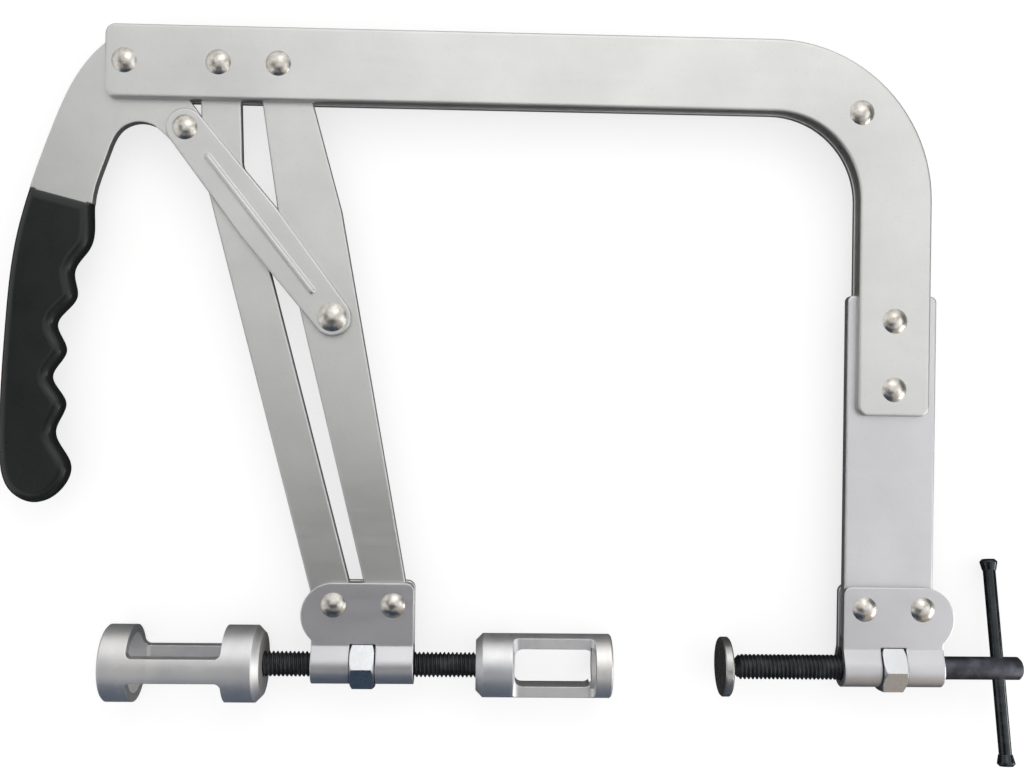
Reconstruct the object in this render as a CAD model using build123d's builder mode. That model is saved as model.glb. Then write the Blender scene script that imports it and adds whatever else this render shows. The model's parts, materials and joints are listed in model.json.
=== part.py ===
from build123d import *
import os
from itertools import pairwise
from math import acos, atan2, cos, degrees, radians, sin

# Valve spring compressor, lying flat. Sizes are in millimetres.
# X runs along the two clamp screws, towards the end with the cross bar.
# Y runs up the frame, from the clamp axis to the top bar. Z is up, out of the flat tool.
# The origin is the centre of the swivel pad's flat face, on the clamp axis.
# Everything lies symmetrically about the flat middle plane, Z = 0.

# Layout of the clamp
pivot_line_y = 303.0
bracket_rivet_y = 31.0
screw_bracket_edge_x = 62.1
cup_to_pad = 56.7
spindle_bracket_edge_x = -157.1

# Sheets and how closely they stack
leg_thickness = 6.0
frame_plate_thickness = 4.0
link_thickness = 3.0
bracket_sheet = 3.0
seat_gap = 0.05
side_clearance = 0.2

# Frame
frame_width = 37.0
frame_bend_radius = 63.0
frame_end_beyond_rivet = 9.7
frame_corner_round = 5.0
frame_edge_round = 1.5
frame_foot_y = 129.8
post_x = 86.0
corner_spacer_radius = 9.0

# Leg
leg_width = 46.0
leg_top_y = 191.6
leg_foot_y = 14.0
leg_corner_round = 3.0
leg_edge_break = 0.6
leg_rivet_y = 143.4
leg_rivet_spacing = 35.0

# Rivets
shank_radius = 3.5
rivet_head_radius = 6.3
rivet_head_height = 2.9
toggle_rivet_head_radius = 7.4
rivet_fit = 0.05

# Folded brackets, measured from their straight edge
bracket_length = 51.5
fold_root_y = 10.5
fold_root_round = 1.0
ear_top_above_rivets = 11.2
ear_corner_round = 4.0
ear_lobe_overhang = 5.55
ear_heel_round = 2.0
near_rivet_from_edge = 10.7
bracket_rivet_spacing = 29.95
nut_window_clearance = 0.5

# Threaded pieces
screw_radius = 6.35
screw_sleeve_clearance = 0.4
thread_fit = 0.07
nut_across_flats = 22.2
nut_thickness = 12.3
nut_corner_chamfer = 1.1
nut_top_clearance = 0.3

# Arms and linkage
inner_pivot_x = -228.9
handle_pivot_x = -305.6
arm_eye_radius = 10.0
outer_arm_bend_right = 1.85
outer_arm_bend_down = 51.0
inner_arm_belly_right = 16.6
inner_arm_belly_down = 76.5
inner_arm_belly_radius = 15.9
inner_arm_eye_radius = 11.2
inner_arm_foot_shift = 2.0
arm_edge_break = 0.5
toggle_from_pivot = 130.0
toggle_top_right = 30.3
toggle_top_down = 32.7
link_eye_radius = 9.6
link_belly_radius = 11.4
link_edge_break = 0.5
rib_from_top = 17.0
rib_from_bottom = 15.0
rib_width = 3.4
rib_height = 1.3
rib_round = 0.6

# Lever and grip. Points are offsets from the handle's pivot, and the outline's go down the back,
# round the toe and up the fingers to the arch
lever_head_radius = 14.5
lever_lobe_radius = 9.6
stop_gap = 0.4
open_pivot_drift = 1.9
open_pivot_shift = (1.31, -1.33)
grip_thickness = 12.6
grip_edge_round = 5.0
grip_fit = 0.05
tang_root_radius = 13.0
tang_radius = 9.5
tang_waist = (-47.2, -133.0)
tang_tip = (-46.8, -200.0)
lever_back_leaves_head_at = 140.0
lever_back = [(-24.8, -7.0), (-36.5, -32.7), (-47.3, -63.7), (-54.3, -91.0)]
grip_back = [(-58.6, -129.7), (-60.9, -175.0), (-60.7, -199.0)]
grip_toe = [(-55.4, -216.4), (-43.0, -222.3), (-30.6, -215.4), (-26.4, -203.5)]
finger_rests = [(-34.2, -186.4), (-36.1, -158.8), (-34.0, -132.6), (-25.8, -106.0)]
finger_ridges = [(-29.3, -172.0), (-29.3, -145.6), (-24.4, -118.4), (-18.3, -93.6)]
lever_arch = [(-16.2, -71.6), (-9.4, -47.0), (-2.0, -33.0), (7.6, -29.8), (16.8, -33.0)]
grip_mouth = (lever_back[2], lever_arch[0])

# Spring side spindle and its two cups
rod_in_hub = 12.5
hub_bottom_gap = 0.5
small_cup_radius = 16.0
small_hub_length = 18.7
small_slab_length = 41.7
small_ring_length = 8.5
small_cup_bore_radius = 12.0
small_window_width = 19.0
large_cup_radius = 19.25
large_hub_length = 18.4
large_slab_length = 46.3
large_ring_length = 13.8
large_cup_bore_radius = 15.0
large_window_width = 24.0
large_hub_face_x = -232.9
slab_thickness = 12.0
slab_corner_round = 3.0
window_end_wall = 1.1
window_corner_round = 4.0
hub_chamfer = 3.5
cup_edge_chamfer = 0.8

# Feed screw, swivel pad and cross bar
pad_radius = 15.0
pad_thickness = 4.4
pad_rim_chamfer = 0.6
pad_floor = 1.5
neck_radius = 3.7
neck_length = 3.0
neck_flare_length = 2.4
swivel_flange_radius = 4.8
swivel_flange_thickness = 1.1
swivel_fit = 0.08
swivel_end_play = 0.15
screw_end_chamfer = 1.2
thread_end_x = 115.0
shank_end_x = 156.3
plain_shank_radius = 5.85
cross_bar_x = 144.8
cross_bar_radius = 3.15
cross_bar_length = 101.0
cross_bar_slid = 3.8
cross_bar_tilt = 13.0
cross_bar_fit = 0.1
knob_root_radius = 3.5
knob_radius = 4.4
knob_cover = 4.0
knob_cap = 1.8
knob_cap_bevel = 1.2

# What follows from these sizes
inner_gap = leg_thickness + 2 * seat_gap
z_inner = inner_gap / 2
z_frame = z_inner + frame_plate_thickness
z_ear = z_inner + bracket_sheet
z_link = z_inner + link_thickness
sleeve_bore_radius = screw_radius + screw_sleeve_clearance
sleeve_radius = sleeve_bore_radius + bracket_sheet
hole_radius = shank_radius + rivet_fit
moving_thickness = inner_gap - 2 * side_clearance

frame_bend_x = post_x - frame_bend_radius
frame_bend_y = pivot_line_y - frame_bend_radius
frame_end_x = handle_pivot_x - frame_end_beyond_rivet
corner_rivet_reach = frame_bend_radius * cos(radians(45))
corner_rivet_at = Vector(frame_bend_x + corner_rivet_reach, frame_bend_y + corner_rivet_reach)
leg_rivets_at = [Vector(post_x, leg_rivet_y + row * leg_rivet_spacing) for row in range(2)]
far_rivet_from_edge = near_rivet_from_edge + bracket_rivet_spacing
rivets_from_edge = (near_rivet_from_edge, far_rivet_from_edge)
nut_from_edge = (near_rivet_from_edge + far_rivet_from_edge) / 2
leg_feet_at = [Vector(screw_bracket_edge_x + reach, bracket_rivet_y) for reach in rivets_from_edge]
arm_feet_at = [Vector(spindle_bracket_edge_x - reach, bracket_rivet_y) for reach in rivets_from_edge]
inner_foot, outer_foot = arm_feet_at
inner_pivot = Vector(inner_pivot_x, pivot_line_y)
outer_pivot = inner_pivot + outer_foot - inner_foot
outer_arm_bend = outer_pivot + Vector(outer_arm_bend_right, -outer_arm_bend_down)
inner_arm_belly = inner_pivot + Vector(inner_arm_belly_right, -inner_arm_belly_down)
handle_pivot = Vector(handle_pivot_x, pivot_line_y)
toggle_top = handle_pivot + Vector(toggle_top_right, -toggle_top_down)
toggle_bottom = inner_pivot + (inner_foot - inner_pivot).normalized() * toggle_from_pivot
toggle_middle = (toggle_top + toggle_bottom) * 0.5
toggle_length = (toggle_bottom - toggle_top).length

hub_socket_radius = screw_radius + rivet_fit
small_hub_face_x = -cup_to_pad - small_ring_length - small_slab_length - small_hub_length
screw_shoulder_x = pad_thickness + neck_length
cross_bar_plane = Plane(
    origin=(cross_bar_x, 0, 0),
    x_dir=(1, 0, 0),
    z_dir=(0, cos(radians(cross_bar_tilt)), -sin(radians(cross_bar_tilt))),
)


def save(part, name):
    """Labels a finished piece and writes it to its own file."""
    part.label = name
    export_step(part, f"parts/{name}.step")


def flat(point):
    """Gives the two flat coordinates of a point."""
    return (point.X, point.Y)


def from_pivot(offset_point):
    """Gives the place of an offset from the handle's pivot."""
    return handle_pivot + Vector(*offset_point)


def strap(*stations):
    """Gives the outline of a flat strap through round stations, each a centre and a radius."""
    with BuildSketch() as outline:
        for (start, start_radius), (end, end_radius) in pairwise(stations):
            span = end - start
            along = degrees(atan2(span.Y, span.X))
            lean = degrees(acos((start_radius - end_radius) / span.length))
            ends = ((start, start_radius, lean), (start, start_radius, -lean),
                    (end, end_radius, -lean), (end, end_radius, lean))
            touches = [
                centre + Vector(radius, 0).rotate(Axis.Z, along + turn)
                for centre, radius, turn in ends
            ]
            Polygon(*[flat(touch) for touch in touches], align=None)
        for centre, radius in stations:
            with Locations(flat(centre)):
                Circle(radius)
    return outline.sketch


def flat_bar(outline, thickness, edge_break, holes):
    """Gives a flat bar about the middle plane, with broken edges and a rivet hole at each point."""
    with BuildPart() as bar:
        with BuildSketch(Plane.XY.offset(-thickness / 2)):
            add(outline)
        extrude(amount=thickness)
        chamfer(bar.faces().filter_by(Axis.Z).edges(), edge_break)
        with Locations(*[flat(hole) for hole in holes]):
            Hole(hole_radius)
    return bar.part


def rivets(centres, half_grip, head_radius=rivet_head_radius):
    """Gives a domed rivet at each centre, through sheets that reach half_grip to either side."""
    seat = half_grip + seat_gap
    crown = seat + rivet_head_height
    dome_radius = (head_radius**2 + rivet_head_height**2) / (2 * rivet_head_height)
    with BuildPart() as group:
        for centre in centres:
            upright = Plane((centre.X, centre.Y, 0), x_dir=(1, 0, 0), z_dir=(0, -1, 0))
            with BuildSketch(upright) as section:
                with BuildLine():
                    Polyline((head_radius, seat), (shank_radius, seat), (shank_radius, 0),
                             (0, 0), (0, crown))
                    RadiusArc((0, crown), (head_radius, seat), dome_radius)
                make_face()
                mirror(about=Plane.XZ)
            revolve(axis=Axis((centre.X, centre.Y, 0), (0, 0, 1)))
    return group.part


def folded_bracket(edge_x, along):
    """Gives a sheet folded round a screw, with its straight edge at edge_x and its lobe along."""

    def at(distance):
        return edge_x + along * distance

    ear_top = bracket_rivet_y + ear_top_above_rivets
    lobe_x = far_rivet_from_edge
    lobe_tip = bracket_length + ear_lobe_overhang
    lobe_radius = lobe_tip - lobe_x
    lobe_y = ear_top - lobe_radius
    heel_y = lobe_y - (lobe_radius**2 - (bracket_length - lobe_x) ** 2) ** 0.5
    below = -2 * sleeve_radius
    window_top = nut_across_flats / 2 + nut_top_clearance
    root = Vector(fold_root_y, z_ear)
    flank_lean = degrees(atan2(root.Y, root.X) + acos(sleeve_radius / root.length))
    flank_normal = Vector(1, 0).rotate(Axis.Z, flank_lean)
    inner_root_y = (sleeve_bore_radius - z_inner * flank_normal.Y) / flank_normal.X
    with BuildPart() as bracket:
        with BuildSketch(Plane.YZ.offset(edge_x)) as fold:
            for radius, root_y, ear_face, mode in (
                (sleeve_radius, fold_root_y, z_ear, Mode.ADD),
                (sleeve_bore_radius, inner_root_y, z_inner, Mode.SUBTRACT),
            ):
                touch = flank_normal * radius
                Circle(radius, mode=mode)
                Polygon((0, 0), (touch.X, touch.Y), (root_y, ear_face), (root_y, -ear_face),
                        (touch.X, -touch.Y), align=None, mode=mode)
                with Locations((ear_top / 2, 0)):
                    Rectangle(ear_top, 2 * ear_face, mode=mode)
            roots = [fold.vertices().sort_by_distance(flat(root))[0],
                     fold.vertices().sort_by_distance((root.X, -root.Y))[0]]
            fillet(roots, fold_root_round)
        extrude(amount=along * lobe_tip)
        with BuildSketch() as side:
            with BuildLine():
                Polyline((at(bracket_length), heel_y), (at(bracket_length), below),
                         (at(0), below), (at(0), ear_top), (at(lobe_x), ear_top))
                ThreePointArc((at(lobe_x), ear_top), (at(lobe_tip), lobe_y),
                              (at(bracket_length), heel_y))
            make_face()
            corners = side.vertices()
            fillet(corners.sort_by_distance((at(0), ear_top))[0], ear_corner_round)
            corners = side.vertices()
            fillet(corners.sort_by_distance((at(bracket_length), heel_y))[0], ear_heel_round)
        extrude(amount=2 * sleeve_radius, both=True, mode=Mode.INTERSECT)
        with BuildSketch():
            with Locations((at(nut_from_edge), (window_top + below) / 2)):
                Rectangle(nut_thickness + 2 * nut_window_clearance, window_top - below)
            with Locations(*[(at(reach), bracket_rivet_y) for reach in rivets_from_edge]):
                Circle(hole_radius)
        extrude(amount=2 * sleeve_radius, both=True, mode=Mode.SUBTRACT)
    return bracket.part


def hex_nut(centre_x):
    """Gives a nut on the clamp axis, with two flats facing up and down the frame."""
    left = centre_x - nut_thickness / 2
    right = centre_x + nut_thickness / 2
    flat_radius = nut_across_flats / 2
    corner_radius = flat_radius / cos(radians(30))
    with BuildPart() as nut:
        with BuildSketch(Plane.YZ.offset(left)):
            RegularPolygon(flat_radius, 6, major_radius=False, rotation=30)
            Circle(screw_radius + thread_fit, mode=Mode.SUBTRACT)
        extrude(amount=nut_thickness)
        with BuildSketch():
            Polygon((left, 0), (left, flat_radius), (left + nut_corner_chamfer, corner_radius),
                    (right - nut_corner_chamfer, corner_radius), (right, flat_radius), (right, 0),
                    align=None)
        revolve(axis=Axis.X, mode=Mode.INTERSECT)
    return nut.part


def cup(hub_face_x, along, radius, lengths, bore_radius, window_width, across, through):
    """Gives a turned cup with a milled slab between its hub and its open ring.

    The cup runs along from hub_face_x. The slab's flats and its window face the through plane's
    normal, and across is the plane that shows the slab edge on.
    """
    hub_length, slab_length, ring_length = lengths
    slab_start = hub_face_x + along * hub_length
    slab_end = slab_start + along * slab_length
    mouth = slab_end + along * ring_length
    slab_middle = (slab_start + slab_end) / 2
    window_length = slab_length - 2 * window_end_wall
    bore_depth = ring_length + 2 * window_end_wall
    socket_depth = rod_in_hub + hub_bottom_gap
    half_slab = slab_thickness / 2
    with BuildPart() as body:
        with BuildSketch() as turned:
            with Locations(((hub_face_x + mouth) / 2, radius / 2)):
                Rectangle(abs(mouth - hub_face_x), radius)
            corners = turned.vertices().sort_by_distance((hub_face_x, radius))
            chamfer(corners[0], hub_chamfer)
            corners = turned.vertices().sort_by_distance((mouth, radius))
            chamfer(corners[0], cup_edge_chamfer)
            with Locations((mouth - along * bore_depth / 2, bore_radius / 2)):
                Rectangle(bore_depth, bore_radius, mode=Mode.SUBTRACT)
            with Locations((hub_face_x + along * socket_depth / 2, hub_socket_radius / 2)):
                Rectangle(socket_depth, hub_socket_radius, mode=Mode.SUBTRACT)
        revolve(axis=Axis.X)
        with BuildSketch(across):
            with Locations((slab_middle, half_slab + radius), (slab_middle, -half_slab - radius)):
                RectangleRounded(slab_length, 2 * radius, slab_corner_round)
        extrude(amount=2 * radius, both=True, mode=Mode.SUBTRACT)
        with BuildSketch(through):
            with Locations((slab_middle, 0)):
                RectangleRounded(window_length, window_width, window_corner_round)
        extrude(amount=radius, both=True, mode=Mode.SUBTRACT)
    return body.part


def tang(growth=0):
    """Gives the outline of the lever's tang, which the grip's pocket repeats with a little growth."""
    tang_root = (mouth_back + mouth_front) * 0.5
    return strap((tang_root, tang_root_radius + growth),
                 (from_pivot(tang_waist), tang_radius + growth),
                 (from_pivot(tang_tip), tang_radius + growth))


os.makedirs("parts", exist_ok=True)

# Frame: two plates, the spacer in their bend and the leg between them
with BuildSketch() as frame_outline:
    with BuildLine():
        top_bar = Line((frame_end_x, pivot_line_y), (frame_bend_x, pivot_line_y))
        bend = CenterArc((frame_bend_x, frame_bend_y), frame_bend_radius, 90, -90)
        Line(bend @ 1, (post_x, frame_foot_y))
    trace(line_width=frame_width)
    ends = frame_outline.vertices()
    fillet(ends.group_by(Axis.X)[0] + ends.group_by(Axis.Y)[0], frame_corner_round)

frame_rivets_at = [handle_pivot, outer_pivot, inner_pivot, corner_rivet_at, *leg_rivets_at]
with BuildPart() as front_frame_plate:
    with BuildSketch(Plane.XY.offset(z_inner)):
        add(frame_outline.sketch)
    extrude(amount=frame_plate_thickness)
    fillet(front_frame_plate.faces().sort_by(Axis.Z)[-1].edges(), frame_edge_round)
    with Locations(*[flat(centre) for centre in frame_rivets_at]):
        Hole(hole_radius)
save(front_frame_plate.part, "front_frame_plate")

with BuildPart() as rear_frame_plate:
    mirror(front_frame_plate.part, about=Plane.XY)
save(rear_frame_plate.part, "rear_frame_plate")

with BuildPart() as corner_spacer:
    with BuildSketch(Plane.XY.offset(seat_gap - z_inner)):
        with Locations(flat(corner_rivet_at)):
            Circle(corner_spacer_radius)
            Circle(hole_radius, mode=Mode.SUBTRACT)
    extrude(amount=leg_thickness)
save(corner_spacer.part, "corner_spacer")

with BuildSketch() as leg_outline:
    with Locations((post_x, (leg_top_y + leg_foot_y) / 2)):
        Rectangle(leg_width, leg_top_y - leg_foot_y)
    fillet(leg_outline.vertices(), leg_corner_round)
leg = flat_bar(leg_outline.sketch, leg_thickness, leg_edge_break, leg_rivets_at + leg_feet_at)
save(leg, "leg")

save(rivets([handle_pivot], z_frame), "handle_pivot_rivet")
save(rivets([outer_pivot], z_frame), "outer_arm_rivet")
save(rivets([inner_pivot], z_frame), "inner_arm_rivet")
save(rivets([corner_rivet_at], z_frame), "corner_rivet")
save(rivets(leg_rivets_at, z_frame), "leg_rivets")

# Screw bracket on the leg, with its nut
save(folded_bracket(screw_bracket_edge_x, 1), "screw_bracket")
save(rivets(leg_feet_at, z_ear), "screw_bracket_rivets")
save(hex_nut(screw_bracket_edge_x + nut_from_edge), "screw_nut")

# Arms, which swing side by side and carry the spindle bracket level
outer_stations = ((outer_pivot, arm_eye_radius), (outer_arm_bend, arm_eye_radius),
                  (outer_foot, arm_eye_radius))
outer_arm_outline = strap(*outer_stations)
outer_arm = flat_bar(outer_arm_outline, moving_thickness, arm_edge_break, [outer_pivot, outer_foot])
save(outer_arm, "outer_arm")

inner_arm_outline = strap((inner_pivot, inner_arm_eye_radius),
                          (inner_arm_belly, inner_arm_belly_radius),
                          (inner_foot - Vector(inner_arm_foot_shift, 0), arm_eye_radius))
inner_arm = flat_bar(inner_arm_outline, moving_thickness, arm_edge_break,
                     [inner_pivot, toggle_bottom, inner_foot])
save(inner_arm, "inner_arm")

save(folded_bracket(spindle_bracket_edge_x, -1), "spindle_bracket")
save(rivets(arm_feet_at, z_ear), "spindle_bracket_rivets")
save(hex_nut(spindle_bracket_edge_x - nut_from_edge), "spindle_nut")

# Toggle links, one either side, with a stiffening rib pressed into each
with BuildPart() as front_toggle_link:
    with BuildSketch(Plane.XY.offset(z_inner)):
        add(strap((toggle_top, link_eye_radius), (toggle_middle, link_belly_radius),
                  (toggle_bottom, link_eye_radius)))
    extrude(amount=link_thickness)
    chamfer(front_toggle_link.faces().sort_by(Axis.Z)[-1].edges(), link_edge_break)
    rib_length = toggle_length - rib_from_top - rib_from_bottom
    toggle_direction = (toggle_bottom - toggle_top).normalized()
    rib_middle = toggle_top + toggle_direction * (rib_from_top + rib_length / 2)
    rib_angle = degrees(atan2(toggle_direction.Y, toggle_direction.X))
    with BuildSketch(Plane.XY.offset(z_link)):
        with Locations(flat(rib_middle)):
            SlotOverall(rib_length, rib_width, rotation=rib_angle)
    extrude(amount=rib_height, taper=35)
    fillet(front_toggle_link.faces().sort_by(Axis.Z)[-1].edges(), rib_round)
    with Locations(flat(toggle_top), flat(toggle_bottom)):
        Hole(hole_radius)
save(front_toggle_link.part, "front_toggle_link")

with BuildPart() as rear_toggle_link:
    mirror(front_toggle_link.part, about=Plane.XY)
save(rear_toggle_link.part, "rear_toggle_link")

save(rivets([toggle_bottom], z_link, toggle_rivet_head_radius), "toggle_rivet")
save(rivets([toggle_top], z_link), "lever_link_rivet")

# Lever: the head between the frame plates, the arch and the tang, and the dipped grip
back_start = handle_pivot + Vector(lever_head_radius, 0).rotate(Axis.Z, lever_back_leaves_head_at)
lobe_start = toggle_top + Vector(lever_lobe_radius, 0).rotate(Axis.Z, 215)
finger_edge = [point for pair in zip(finger_rests, finger_ridges) for point in pair]
lever_edge = [from_pivot(point)
              for point in lever_back + grip_back + grip_toe + finger_edge + lever_arch]
mouth_back, mouth_front = [from_pivot(point) for point in grip_mouth]
with BuildSketch() as lever_blank:
    with BuildLine():
        Spline(back_start, *lever_edge, lobe_start)
        Polyline(flat(lobe_start), flat(toggle_top), flat(handle_pivot), flat(back_start))
    make_face()
    add(strap((handle_pivot, lever_head_radius), (toggle_top, lever_lobe_radius)))
with BuildSketch() as stop_outline:
    offset(outer_arm_outline, stop_gap)

mouth_down = (mouth_front - mouth_back).rotate(Axis.Z, -90)
mouth_plane = Plane(origin=mouth_back, z_dir=mouth_down)
grip_reach = 2 * (grip_mouth[0][1] - grip_toe[1][1])
with BuildPart() as handle_lever:
    with BuildSketch(Plane.XY.offset(-moving_thickness / 2)):
        add(lever_blank.sketch)
        add(stop_outline.sketch, mode=Mode.SUBTRACT)
    extrude(amount=moving_thickness)
    with BuildSketch(mouth_plane):
        Rectangle(2 * grip_reach, 2 * grip_reach)
    extrude(amount=grip_reach, mode=Mode.SUBTRACT)
    with BuildSketch(Plane.XY.offset(-moving_thickness / 2)):
        add(tang())
    extrude(amount=moving_thickness)
    with Locations(flat(toggle_top)):
        Hole(hole_radius)
    with Locations(flat(from_pivot(open_pivot_shift))):
        Hole(hole_radius + open_pivot_drift)
save(handle_lever.part, "handle_lever")

with BuildPart() as handle_grip:
    with BuildSketch(Plane.XY.offset(-grip_thickness / 2)):
        add(lever_blank.sketch)
    extrude(amount=grip_thickness)
    with BuildSketch(mouth_plane):
        Rectangle(2 * grip_reach, 2 * grip_reach)
    extrude(amount=grip_reach, mode=Mode.INTERSECT)
    fillet(handle_grip.faces().filter_by(Axis.Z).edges(), grip_edge_round)
    with BuildSketch(Plane.XY.offset(-moving_thickness / 2 - grip_fit)):
        add(tang(grip_fit))
    extrude(amount=moving_thickness + 2 * grip_fit, mode=Mode.SUBTRACT)
save(handle_grip.part, "handle_grip")

# Spindle: a threaded rod with a cup screwed on either end
small_cup_lengths = (small_hub_length, small_slab_length, small_ring_length)
large_cup_lengths = (large_hub_length, large_slab_length, large_ring_length)
small_cup = cup(small_hub_face_x, 1, small_cup_radius, small_cup_lengths, small_cup_bore_radius,
                small_window_width, Plane.XZ, Plane.XY)
save(small_cup, "small_cup")
large_cup = cup(large_hub_face_x, -1, large_cup_radius, large_cup_lengths, large_cup_bore_radius,
                large_window_width, Plane.XY, Plane.XZ)
save(large_cup, "large_cup")

rod_left = large_hub_face_x - rod_in_hub
rod_right = small_hub_face_x + rod_in_hub
with BuildPart() as spindle_rod:
    with BuildSketch(Plane.YZ.offset(rod_left)):
        Circle(screw_radius)
    extrude(amount=rod_right - rod_left)
    chamfer(spindle_rod.edges().filter_by(GeomType.CIRCLE), screw_end_chamfer)
save(spindle_rod.part, "spindle_rod")

# Feed screw, the pad that swivels on its nose and the cross bar through its end
nose_x = pad_floor + swivel_end_play
flange_x = nose_x + swivel_flange_thickness
with BuildPart() as feed_screw:
    with BuildSketch():
        Polygon((nose_x, 0), (nose_x, swivel_flange_radius), (flange_x, swivel_flange_radius),
                (flange_x, neck_radius), (screw_shoulder_x, neck_radius),
                (screw_shoulder_x + neck_flare_length, screw_radius),
                (thread_end_x, screw_radius),
                (thread_end_x + screw_radius - plain_shank_radius, plain_shank_radius),
                (shank_end_x - screw_end_chamfer, plain_shank_radius),
                (shank_end_x, plain_shank_radius - screw_end_chamfer), (shank_end_x, 0),
                align=None)
    revolve(axis=Axis.X)
    with BuildSketch(cross_bar_plane):
        Circle(cross_bar_radius + cross_bar_fit)
    extrude(amount=2 * screw_radius, both=True, mode=Mode.SUBTRACT)
save(feed_screw.part, "feed_screw")

with BuildPart() as swivel_pad:
    with BuildSketch():
        Polygon((0, 0), (0, pad_radius - pad_rim_chamfer), (pad_rim_chamfer, pad_radius),
                (pad_thickness - pad_rim_chamfer, pad_radius),
                (pad_thickness, pad_radius - pad_rim_chamfer),
                (pad_thickness, neck_radius + swivel_fit),
                (flange_x + swivel_end_play, neck_radius + swivel_fit),
                (flange_x + swivel_end_play, swivel_flange_radius + swivel_fit),
                (pad_floor, swivel_flange_radius + swivel_fit), (pad_floor, 0), align=None)
    revolve(axis=Axis.X)
save(swivel_pad.part, "swivel_pad")

bar_low = cross_bar_slid - cross_bar_length / 2
bar_high = cross_bar_slid + cross_bar_length / 2
with BuildPart() as cross_bar:
    with BuildSketch(cross_bar_plane.offset(bar_low)):
        Circle(cross_bar_radius)
    extrude(amount=cross_bar_length)
save(cross_bar.part, "cross_bar")

across_bar = Vector(1, 0, 0)
knob_plane = Plane(cross_bar_plane.origin, x_dir=across_bar,
                   z_dir=across_bar.cross(cross_bar_plane.z_dir))
with BuildPart() as cross_bar_knobs:
    for seat, outward in ((bar_low, -1), (bar_high, 1)):
        cover = seat - outward * knob_cover
        inside = seat + outward * seat_gap
        top = seat + outward * knob_cap
        with BuildSketch(knob_plane):
            Polygon((cross_bar_radius + rivet_fit, cover), (knob_root_radius, cover),
                    (knob_radius, seat), (knob_radius, top - outward * knob_cap_bevel),
                    (knob_radius - knob_cap_bevel, top), (0, top), (0, inside),
                    (cross_bar_radius + rivet_fit, inside), align=None)
        revolve(axis=Axis(knob_plane.origin, cross_bar_plane.z_dir))
save(cross_bar_knobs.part, "cross_bar_knobs")
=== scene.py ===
"""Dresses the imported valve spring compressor. It lies flat, seen from above, on a white floor."""
import json
import math

import bmesh
import bpy
from mathutils import Euler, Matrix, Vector


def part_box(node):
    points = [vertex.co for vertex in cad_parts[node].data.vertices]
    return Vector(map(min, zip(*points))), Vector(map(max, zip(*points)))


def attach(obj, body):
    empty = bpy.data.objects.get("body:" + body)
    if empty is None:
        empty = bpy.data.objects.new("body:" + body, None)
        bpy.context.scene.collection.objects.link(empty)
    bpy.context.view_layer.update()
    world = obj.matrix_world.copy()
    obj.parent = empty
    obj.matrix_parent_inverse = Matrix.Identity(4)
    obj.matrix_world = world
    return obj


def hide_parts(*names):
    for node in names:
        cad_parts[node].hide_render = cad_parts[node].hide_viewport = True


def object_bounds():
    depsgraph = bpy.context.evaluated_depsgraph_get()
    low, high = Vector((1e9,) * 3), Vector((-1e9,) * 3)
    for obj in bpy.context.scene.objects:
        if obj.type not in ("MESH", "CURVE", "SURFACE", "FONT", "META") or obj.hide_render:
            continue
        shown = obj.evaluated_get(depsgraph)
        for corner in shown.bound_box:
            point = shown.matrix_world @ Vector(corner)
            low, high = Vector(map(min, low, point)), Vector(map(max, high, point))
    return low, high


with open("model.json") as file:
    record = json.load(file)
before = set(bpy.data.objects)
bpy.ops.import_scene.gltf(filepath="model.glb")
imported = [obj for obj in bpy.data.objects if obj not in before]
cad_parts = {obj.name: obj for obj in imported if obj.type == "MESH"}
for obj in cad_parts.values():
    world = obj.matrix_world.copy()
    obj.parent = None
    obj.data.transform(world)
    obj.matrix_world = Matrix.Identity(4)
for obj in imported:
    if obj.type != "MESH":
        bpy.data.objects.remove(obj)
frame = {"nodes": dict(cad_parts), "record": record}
cad_low, cad_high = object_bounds()
rod_low, rod_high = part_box("spindle_rod")
screw_low, screw_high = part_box("feed_screw")

# Threads of the two screws, in metres: 12 turns to the inch
PITCH = 0.0254 / 12
THREAD_DEPTH = 0.00115
SCREW_RADIUS = (rod_high.y - rod_low.y) / 2
END_CHAMFER = 0.0012
# One turn's section, in shares: how far along the pitch, and how deep below the crest
THREAD_SECTION = ((0.0, 0.0), (0.14, 0.0), (0.30, 0.55), (0.47, 1.0), (0.60, 1.0), (0.80, 0.5))
ROUND_STEPS = 40
MERGE_DISTANCE = 0.000001

# Feed screw, where its box doesn't say: its swivel neck, its thread's two ends and its plain shank
FLANGE_RADIUS = 0.0048
FLANGE_THICKNESS = 0.0011
NECK_RADIUS = 0.0037
THREAD_START_X = 0.0072
THREAD_END_X = 0.115
SHANK_RADIUS = 0.00585
SHANK_CHAMFER = 0.0012
# How far the neck and the shank reach into the thread, and how much thinner the shank is there
OVERLAP = 0.001
SHANK_TAPER = 0.0005

# Camera, fitted to the rivet heads and outer edges in the photograph
IMAGE_WIDTH = 1024
CAMERA_AT = (-0.1263, 0.1392, 0.572)
CAMERA_TURN = (0.0007, -0.0303, 0.0140)
FOCAL_PIXELS = 1119.0
SENSOR_WIDTH = 36.0

# Bounds between which most of a noise's values lie
NOISE_LOW, NOISE_HIGH = 0.3, 0.7
NOISE_ROUGHNESS = 0.55

# Cosines of the angle that a rounded edge turns a face by, where edge wear and painted highlight
# start and where they are full
WEAR_AND_HIGHLIGHT_START, WEAR_AND_HIGHLIGHT_FULL = 0.995, 0.85
ROUNDING_SAMPLES = 6

# Sockets of Blender's Mix node for colours
MIX_SHARE, MIX_FIRST, MIX_SECOND, MIX_RESULT = 0, 6, 7, 2


def grey(level):
    return (level, level, level)


def tinted(colour, tint):
    return tuple(level * share for level, share in zip(colour, tint))


WHITE = grey(1.0)


# Nodes of a material

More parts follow.
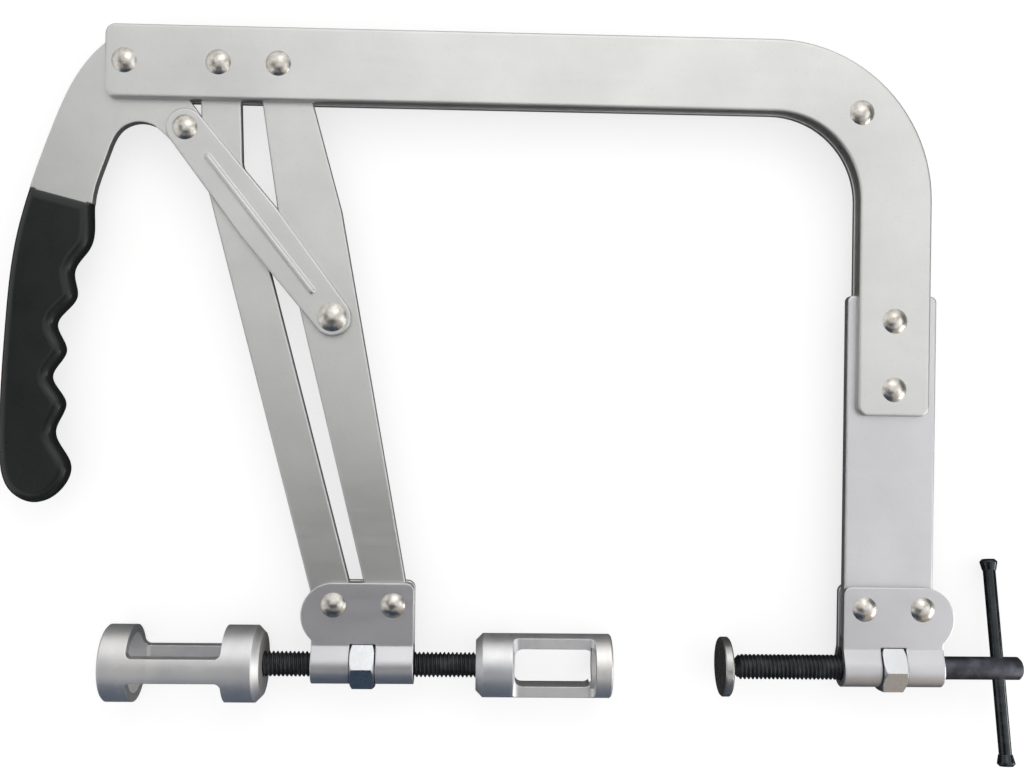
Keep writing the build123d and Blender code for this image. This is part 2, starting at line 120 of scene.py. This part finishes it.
class Nodes:
    """A node tree under construction, with short calls for the nodes that it uses."""

    def __init__(self, owner, surface):
        owner.use_nodes = True
        self.owner = owner
        self.tree = owner.node_tree
        self.surface = self.tree.nodes[surface]

    def feed(self, socket, value):
        """Links a socket to another socket, or sets it to a number, a direction or a colour."""
        if isinstance(value, bpy.types.NodeSocket):
            self.tree.links.new(value, socket)
        elif socket.type == "RGBA":
            socket.default_value = (*value, 1)
        else:
            socket.default_value = value

    def fill(self, node, inputs):
        for name, value in inputs.items():
            self.feed(node.inputs[name.replace("_", " ")], value)

    def set(self, **inputs):
        self.fill(self.surface, inputs)

    def node(self, kind, settings=(), **inputs):
        made = self.tree.nodes.new(kind)
        for name, value in dict(settings).items():
            setattr(made, name, value)
        self.fill(made, inputs)
        return made

    def noise(self, scale, detail, stretch=(1, 1, 1)):
        """Noise about scale cycles a metre, stretched along the object's own axes."""
        place = self.node("ShaderNodeTexCoord").outputs["Object"]
        stretched = self.node("ShaderNodeMapping", Vector=place, Scale=stretch)
        made = self.node("ShaderNodeTexNoise", Vector=stretched.outputs["Vector"], Scale=scale,
                         Detail=detail, Roughness=NOISE_ROUGHNESS)
        return made.outputs["Fac"]

    def remap(self, value, low, high, out_low=0.0, out_high=1.0):
        made = self.node("ShaderNodeMapRange")
        for index, number in enumerate((value, low, high, out_low, out_high)):
            self.feed(made.inputs[index], number)
        return made.outputs["Result"]

    def spread(self, noise, lowest, highest):
        """A noise as values that mostly lie between a lowest and a highest one."""
        return self.remap(noise, NOISE_LOW, NOISE_HIGH, lowest, highest)

    def blend(self, share, first, second):
        made = self.node("ShaderNodeMix", {"data_type": "RGBA"})
        self.feed(made.inputs[MIX_SHARE], share)
        self.feed(made.inputs[MIX_FIRST], first)
        self.feed(made.inputs[MIX_SECOND], second)
        return made.outputs[MIX_RESULT]

    def math(self, operation, first, second=0.0):
        made = self.node("ShaderNodeMath", {"operation": operation})
        self.feed(made.inputs[0], first)
        self.feed(made.inputs[1], second)
        return made.outputs[0]

    def times(self, value, factor):
        return self.math("MULTIPLY", value, factor)

    def rounded_normal(self, width):
        made = self.node("ShaderNodeBevel", {"samples": ROUNDING_SAMPLES}, Radius=width)
        return made.outputs["Normal"]

    def edge_wear_and_highlight(self, colour, bare_highlit_edge, width, share):
        """A colour that goes by a share to another along sharp edges, to about width from them:
        partly edge wear, partly a painted highlight standing in for light caught by rounded edges.
        """
        cosine = self.node("ShaderNodeVectorMath", {"operation": "DOT_PRODUCT"})
        self.feed(cosine.inputs[0], self.rounded_normal(width))
        self.feed(cosine.inputs[1], self.node("ShaderNodeNewGeometry").outputs["Normal"])
        wear_and_highlight = self.remap(cosine.outputs["Value"], WEAR_AND_HIGHLIGHT_START, WEAR_AND_HIGHLIGHT_FULL)
        return self.blend(self.times(wear_and_highlight, share), colour, bare_highlit_edge)

    def bump(self, height, distance, soften=None):
        """A normal from a height, over edges softened to a radius in metres."""
        made = self.node("ShaderNodeBump", Height=height, Distance=distance)
        if soften:
            self.feed(made.inputs["Normal"], self.rounded_normal(soften))
        self.set(Normal=made.outputs["Normal"])


def shader(name):
    return Nodes(bpy.data.materials.new(name), "Principled BSDF")


def plated_sheet(name, tint, wear_and_highlight_share):
    """Satin plated sheet, faintly cloudy, with fine pits, hair marks and bright edges that are
    partly wear and partly painted highlight.
    """
    made = shader(name)
    dull, clear, pit, bare_highlit_edge = grey(0.60), grey(0.68), grey(0.44), grey(0.88)
    edge = 0.0011
    cloud = made.remap(made.noise(scale=14, detail=4), 0.35, 0.65)
    pits = made.remap(made.noise(scale=900, detail=2), 0.62, 0.74)
    hair = made.noise(scale=220, detail=2, stretch=(0.12, 1.6, 1))
    colour = made.blend(cloud, tinted(dull, tint), tinted(clear, tint))
    colour = made.blend(made.times(pits, 0.25), colour, pit)
    colour = made.edge_wear_and_highlight(colour, bare_highlit_edge, width=edge, share=wear_and_highlight_share)
    made.set(Base_Color=colour, Metallic=0.90, Roughness=made.spread(hair, 0.43, 0.48))
    height = made.math("ADD", made.times(hair, 0.2), made.noise(scale=1500, detail=2))
    made.bump(height, distance=0.00002, soften=edge)
    return made.owner


def polished_rivet():
    """Polished rivet heads with small brownish marks."""
    made = shader("polished_rivet")
    bright, stained = (0.66, 0.64, 0.60), (0.44, 0.405, 0.355)
    marks = made.noise(scale=380, detail=4)
    colour = made.blend(made.remap(marks, 0.4, 0.7), bright, stained)
    made.set(Base_Color=colour, Metallic=1.0, Roughness=made.spread(marks, 0.27, 0.36))
    made.bump(marks, distance=0.00016)
    return made.owner


def turned_steel():
    """Satin turned and milled steel of the cups, with fine tool rings and bright edges that are
    partly wear and partly painted highlight.
    """
    made = shader("turned_steel")
    cool, warm, bare_highlit_edge = (0.70, 0.71, 0.735), (0.84, 0.82, 0.80), (0.84, 0.86, 0.88)
    rings = made.noise(scale=1100, detail=1, stretch=(1, 0.02, 0.02))
    cloud = made.remap(made.noise(scale=40, detail=4), 0.35, 0.65)
    colour = made.edge_wear_and_highlight(made.blend(cloud, cool, warm), bare_highlit_edge, width=0.0008, share=0.6)
    made.set(Base_Color=colour, Metallic=0.93, Roughness=made.spread(rings, 0.46, 0.56))
    made.bump(rings, distance=0.00003, soften=0.0006)
    return made.owner


def zinc_nut():
    """Bright zinc plated nuts, with bright edges that are partly wear and partly painted highlight.
    """
    made = shader("zinc_nut")
    plating, bare_highlit_edge = (0.56, 0.575, 0.59), (0.84, 0.85, 0.86)
    grain = made.noise(scale=500, detail=3)
    colour = made.edge_wear_and_highlight(plating, bare_highlit_edge, width=0.0008, share=0.8)
    made.set(Base_Color=colour, Metallic=0.95, Roughness=made.spread(grain, 0.26, 0.34))
    made.bump(grain, distance=0.00001, soften=0.0006)
    return made.owner


def black_oxide(name, colour, smoothest, roughest, metallic=0.6, gloss=0.5):
    """Blackened steel of the screws and cross bar, lighter along its edges: partly rubbed wear,
    partly painted highlight.
    """
    made = shader(name)
    bare_highlit_edge = (0.20, 0.21, 0.22)
    rub = made.remap(made.noise(scale=160, detail=4), 0.45, 0.75)
    rubbed = made.blend(rub, tinted(colour, grey(0.8)), tinted(colour, grey(1.9)))
    made.set(Base_Color=made.edge_wear_and_highlight(rubbed, bare_highlit_edge, width=0.0005, share=0.6),
             Metallic=metallic, Specular_IOR_Level=gloss,
             Roughness=made.remap(rub, 0.0, 1.0, smoothest, roughest))
    made.bump(made.noise(scale=700, detail=3), distance=0.00003, soften=0.0004)
    return made.owner


def dark_faced_pad():
    """The swivel pad: darker on its faces across the clamp axis, lighter on its rim."""
    made = shader("dark_faced_pad")
    dark, dull, bright = (0.32, 0.32, 0.325), (0.36, 0.37, 0.36), (0.56, 0.56, 0.54)
    normal = made.node("ShaderNodeNewGeometry").outputs["Normal"]
    along = made.node("ShaderNodeSeparateXYZ", Vector=normal).outputs["X"]
    on_face = made.remap(made.math("ABSOLUTE", along), 0.75, 0.9)
    grain = made.noise(scale=300, detail=3)
    colour = made.blend(on_face, made.blend(grain, dull, bright), dark)
    made.set(Base_Color=colour, Metallic=0.9, Roughness=made.spread(grain, 0.24, 0.36))
    made.bump(grain, distance=0.00003, soften=0.0005)
    return made.owner


def dipped_vinyl():
    """Glossy dipped vinyl with a faint uneven skin."""
    made = shader("dipped_vinyl")
    deep, faded = (0.012, 0.014, 0.0135), (0.022, 0.024, 0.0235)
    skin = made.noise(scale=60, detail=3)
    made.set(Base_Color=made.blend(made.noise(scale=25, detail=3), deep, faded),
             Roughness=made.spread(skin, 0.25, 0.34), Specular_IOR_Level=0.3)
    grain = made.times(made.noise(scale=900, detail=2), 0.08)
    made.bump(made.math("ADD", skin, grain), distance=0.00013)
    return made.owner


sheet = plated_sheet("plated_sheet", tint=(0.993, 1.0, 0.975), wear_and_highlight_share=0.45)
# A bluer copy of the sheet, its stronger bright edges a painted highlight, for the leg and spindle
# bracket
cool_sheet = plated_sheet("cool_sheet", tint=(0.98, 0.975, 1.0), wear_and_highlight_share=0.9)
# A darker copy of the sheet with stronger bright edges: painted shade and painted edge highlight for
# the screw bracket
shaded_sheet = plated_sheet("shaded_sheet", tint=(0.90, 0.895, 0.92), wear_and_highlight_share=0.9)
black = black_oxide("black_oxide", (0.042, 0.045, 0.048), smoothest=0.34, roughest=0.46)
shank_black = black_oxide("shank_black", (0.062, 0.064, 0.078), smoothest=0.46, roughest=0.56)
bar_black = black_oxide("bar_black", (0.020, 0.025, 0.028), smoothest=0.12, roughest=0.20,
                        metallic=0.5, gloss=0.6)
FINISH = {
    "plated_sheet": sheet, "washer_steel": sheet, "rivet_steel": polished_rivet(),
    "cup_steel": turned_steel(), "nut_zinc": zinc_nut(), "black_steel": black,
    "pad_steel": dark_faced_pad(), "grip_vinyl": dipped_vinyl(),
}
# Nodes whose finish differs a little from the rest of their material slot: a glossier black for the
# cross bar, a bluer sheet with stronger painted edge highlights, and a darker sheet with painted
# shade
OWN_FINISH_AND_PAINTED_LIGHT = {
    "leg": cool_sheet, "screw_bracket": shaded_sheet, "spindle_bracket": cool_sheet,
    "cross_bar": bar_black, "cross_bar_knobs": bar_black,
}


def dress(piece, material):
    piece.data.materials.clear()
    piece.data.materials.append(material)


for part in frame["record"]["subparts"]:
    dress(frame["nodes"][part["node"]], OWN_FINISH_AND_PAINTED_LIGHT.get(part["node"], FINISH[part["material_slot"]]))


# Pieces that Blender makes: the spindle's thread, and the feed screw's neck, thread and shank

def placed(name, data):
    """A new object in the scene."""
    made = bpy.data.objects.new(name, data)
    bpy.context.scene.collection.objects.link(made)
    return made


def closed_mesh(name, points, faces):
    """A smooth mesh without doubled or unused points, its open ends closed by flat faces."""
    mesh = bpy.data.meshes.new(name)
    mesh.from_pydata(points, [], faces)
    work = bmesh.new()
    work.from_mesh(mesh)
    bmesh.ops.remove_doubles(work, verts=work.verts, dist=MERGE_DISTANCE)
    unused = [point for point in work.verts if not point.link_faces]
    bmesh.ops.delete(work, geom=unused, context="VERTS")
    bmesh.ops.holes_fill(work, edges=[edge for edge in work.edges if edge.is_boundary])
    bmesh.ops.recalc_face_normals(work, faces=work.faces)
    for face in work.faces:
        face.smooth = len(face.verts) < ROUND_STEPS
    work.to_mesh(mesh)
    work.free()
    return mesh


def mesh_piece(name, points, faces, body, material_slot):
    """A closed mesh that rides on a body and takes the finish of a material slot."""
    piece = placed(name, closed_mesh(name, points, faces))
    dress(piece, FINISH[material_slot])
    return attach(piece, body)


def around(x, radius, angle):
    return (x, radius * math.cos(angle), radius * math.sin(angle))


def turned(name, profile, body, material_slot):
    """A solid turned about the clamp axis from a profile of (x, radius) with x rising."""
    points, faces = [], []
    for x, radius in profile:
        points += [around(x, radius, math.tau * step / ROUND_STEPS) for step in range(ROUND_STEPS)]
    for ring in range(len(profile) - 1):
        first = ring * ROUND_STEPS
        for step in range(ROUND_STEPS):
            here, after = first + step, first + (step + 1) % ROUND_STEPS
            faces.append((here, here + ROUND_STEPS, after + ROUND_STEPS, after))
    return mesh_piece(name, points, faces, body, material_slot)


def thread(name, start, end, chamfers, body, material_slot):
    """A right hand thread about the clamp axis from start to end, cut by a chamfer at each end."""
    turns = math.ceil((end - start) / PITCH) + 1
    points, faces = [], []
    for turn in range(-1, turns):
        for along, depth in THREAD_SECTION:
            for step in range(ROUND_STEPS):
                share = step / ROUND_STEPS
                x = min(max(start + PITCH * (turn + along + share), start), end)
                cut = max(THREAD_DEPTH * depth, chamfers[0] - (x - start), chamfers[1] - (end - x))
                points.append(around(x, SCREW_RADIUS - cut, math.tau * share))
    for row in range(len(points) // ROUND_STEPS - len(THREAD_SECTION)):
        for step in range(ROUND_STEPS):
            here = row * ROUND_STEPS + step
            # After a whole turn, a row goes on in the one that lies a pitch further
            whole_turn = step + 1 == ROUND_STEPS
            after = (row + len(THREAD_SECTION)) * ROUND_STEPS if whole_turn else here + 1
            if after + ROUND_STEPS < len(points):
                faces.append((here, here + ROUND_STEPS, after + ROUND_STEPS, after))
    return mesh_piece(name, points, faces, body, material_slot)


spindle_thread = thread("spindle_thread", rod_low.x, rod_high.x, (END_CHAMFER, END_CHAMFER),
                        "spindle_rod", "black_steel")
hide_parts("spindle_rod")

feed_neck = turned("feed_neck", [
    (screw_low.x, FLANGE_RADIUS), (screw_low.x + FLANGE_THICKNESS, FLANGE_RADIUS),
    (screw_low.x + FLANGE_THICKNESS, NECK_RADIUS), (THREAD_START_X, NECK_RADIUS),
    (THREAD_START_X + OVERLAP, NECK_RADIUS),
], "feed_screw", "black_steel")
feed_thread = thread("feed_thread", THREAD_START_X, THREAD_END_X,
                     (SCREW_RADIUS - NECK_RADIUS, END_CHAMFER), "feed_screw", "black_steel")
feed_shank = turned("feed_shank", [
    (THREAD_END_X - OVERLAP, SHANK_RADIUS - SHANK_TAPER), (THREAD_END_X, SHANK_RADIUS),
    (screw_high.x - SHANK_CHAMFER, SHANK_RADIUS), (screw_high.x, SHANK_RADIUS - SHANK_CHAMFER),
], "feed_screw", "black_steel")
dress(feed_shank, shank_black)
for piece in (feed_neck, feed_thread, feed_shank):
    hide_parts("feed_screw")


# Camera, floor and light

FLOOR_HALF = 6.0
FLOOR_GLOW = 0.70
ROOM_LIGHT = 0.7
LAMP_SIZE = 1.0


def flat_face(name, corners):
    mesh = bpy.data.meshes.new(name)
    mesh.from_pydata(corners, [], [tuple(range(len(corners)))])
    return placed(name, mesh)


def add_camera():
    data = bpy.data.cameras.new("camera")
    data.sensor_width = SENSOR_WIDTH
    data.lens = FOCAL_PIXELS * SENSOR_WIDTH / IMAGE_WIDTH
    camera = placed("camera", data)
    camera.location = CAMERA_AT
    camera.rotation_euler = Euler(CAMERA_TURN)
    bpy.context.scene.camera = camera


def add_floor(level):
    """A pale floor that keeps the tool's shadow and is near white where it is seen."""
    floor = flat_face("floor", [(-FLOOR_HALF, -FLOOR_HALF, level), (FLOOR_HALF, -FLOOR_HALF, level),
                                (FLOOR_HALF, FLOOR_HALF, level), (-FLOOR_HALF, FLOOR_HALF, level)])
    made = shader("floor_white")
    rays = made.node("ShaderNodeLightPath").outputs
    seen = made.math("ADD", rays["Is Camera Ray"], rays["Is Glossy Ray"])
    colour = made.blend(made.noise(scale=3, detail=2), grey(0.42), grey(0.44))
    made.set(Base_Color=colour, Roughness=0.9, Specular_IOR_Level=0.1,
             Emission_Color=WHITE, Emission_Strength=made.times(seen, FLOOR_GLOW))
    dress(floor, made.owner)


def add_world():
    """A room that is plain white where it is seen, and a little weaker than that as a light."""
    made = Nodes(bpy.data.worlds.new("studio"), "Background")
    rays = made.node("ShaderNodeLightPath").outputs
    seen = made.math("MAXIMUM", rays["Is Camera Ray"], rays["Is Glossy Ray"])
    seen = made.math("MAXIMUM", seen, rays["Is Transmission Ray"])
    made.set(Color=WHITE, Strength=made.remap(seen, 0.0, 1.0, ROOM_LIGHT, 1.0))
    bpy.context.scene.world = made.owner


def add_lamp(name, at, power, colour):
    """A round lamp that points at the middle of the tool."""
    data = bpy.data.lights.new(name, "AREA")
    data.shape = "DISK"
    data.size = LAMP_SIZE
    data.energy = power
    data.color = colour
    lamp = placed(name, data)
    lamp.location = at
    towards = (cad_low + cad_high) / 2 - Vector(at)
    lamp.rotation_euler = towards.to_track_quat("-Z", "Y").to_euler()


def add_flag(name, corners, colour, glow=0.0):
    """A card that only reflections see, so that the metal has shade and light to show."""
    flag = flat_face(name, corners)
    made = shader(name)
    made.set(Base_Color=colour, Roughness=1.0, Emission_Color=WHITE, Emission_Strength=glow)
    dress(flag, made.owner)
    for rays in ("camera", "diffuse", "shadow", "transmission", "volume_scatter"):
        setattr(flag, f"visible_{rays}", False)


add_camera()
add_floor(cad_low.z)
add_world()
add_lamp("key", at=(0.10, 1.1, 1.0), power=2.9, colour=(1.0, 0.985, 0.96))
add_lamp("side", at=(1.1, 0.1, 0.8), power=1.8, colour=(0.96, 0.98, 1.0))

# Places and colours of the cards
BLUE_SHADE = (0.010, 0.052, 0.124)
NEUTRAL_SHADE = grey(0.02)
WARM_GREY = (0.90, 0.77, 0.66)
WARM_SHADE = (0.14, 0.12, 0.12)
# How far cards keep from each other and from the floor
CARD_GAP, CARD_LIFT = 0.0001, 0.0002
CARD_STEPS = 24
FRONT_LEFT, FRONT_RIGHT, FRONT_Y, FRONT_TOP = -0.95, 0.70, -0.42, 0.62
# Where blue shade changes to warm, on the standing and the lying cards, and where the lying ones end
STANDING_CHANGE_X, LYING_CHANGE_X, LYING_FAR_Y = 0.16, 0.05, -0.05
LYING_Z = cad_low.z + CARD_LIFT
HANGING_Z = 0.56
SIDE_X, STRIP_END_Y = 0.62, 0.02
STRIP_GLOW = 6.0


def upright_card(name, start, end, low, high, colour, glow=0.0):
    """A card that stands on a line over the floor, between two (x, y) places."""
    add_flag(name, [(*start, low), (*end, low), (*end, high), (*start, high)], colour, glow)


def lying_card(name, left, right, near, far, colour):
    add_flag(name, [(left, near, LYING_Z), (right, near, LYING_Z), (right, far, LYING_Z),
                    (left, far, LYING_Z)], colour)


def hanging_card(name, x, y, half_width, half_depth):
    """A dark oval card that hangs beside the camera."""
    turns = [math.tau * step / CARD_STEPS for step in range(CARD_STEPS)]
    add_flag(name, [(x + half_width * math.cos(turn), y + half_depth * math.sin(turn), HANGING_Z)
                    for turn in turns], NEUTRAL_SHADE)


# Towards the viewer's side, blue shade for the cups and warm greys for the screw
upright_card("standing_flag", start=(FRONT_LEFT, FRONT_Y), end=(STANDING_CHANGE_X, FRONT_Y),
             low=cad_low.z, high=FRONT_TOP, colour=BLUE_SHADE)
upright_card("standing_grey", start=(STANDING_CHANGE_X + CARD_GAP, FRONT_Y),
             end=(FRONT_RIGHT, FRONT_Y), low=cad_low.z, high=FRONT_TOP, colour=WARM_GREY)
lying_card("lying_flag", left=FRONT_LEFT, right=LYING_CHANGE_X, near=FRONT_Y, far=LYING_FAR_Y,
           colour=BLUE_SHADE)
lying_card("lying_grey", left=LYING_CHANGE_X + CARD_GAP, right=FRONT_RIGHT, near=FRONT_Y,
           far=LYING_FAR_Y, colour=WARM_SHADE)
# Under the tool and over it, beside the camera, dark cards for its flat faces
lying_card("under_flag", left=-0.50, right=0.30, near=LYING_FAR_Y + CARD_GAP, far=0.42,
           colour=NEUTRAL_SHADE)
hanging_card("hanging_flag", x=-0.23, y=-0.09, half_width=0.37, half_depth=0.20)
hanging_card("left_flag", x=-0.66, y=0.24, half_width=0.17, half_depth=0.26)
# To the right, a low bright strip for narrow highlights on the cross bar and the cups' chamfers,
# and a dark card for the right edges of the frame
upright_card("bright_strip", start=(SIDE_X, -0.40), end=(SIDE_X, STRIP_END_Y), low=0.01, high=0.16,
             colour=WHITE, glow=STRIP_GLOW)
upright_card("side_flag", start=(SIDE_X, STRIP_END_Y + CARD_GAP), end=(SIDE_X, 0.75),
             low=cad_low.z, high=0.34, colour=NEUTRAL_SHADE)

bpy.context.scene.view_settings.view_transform = "Standard"
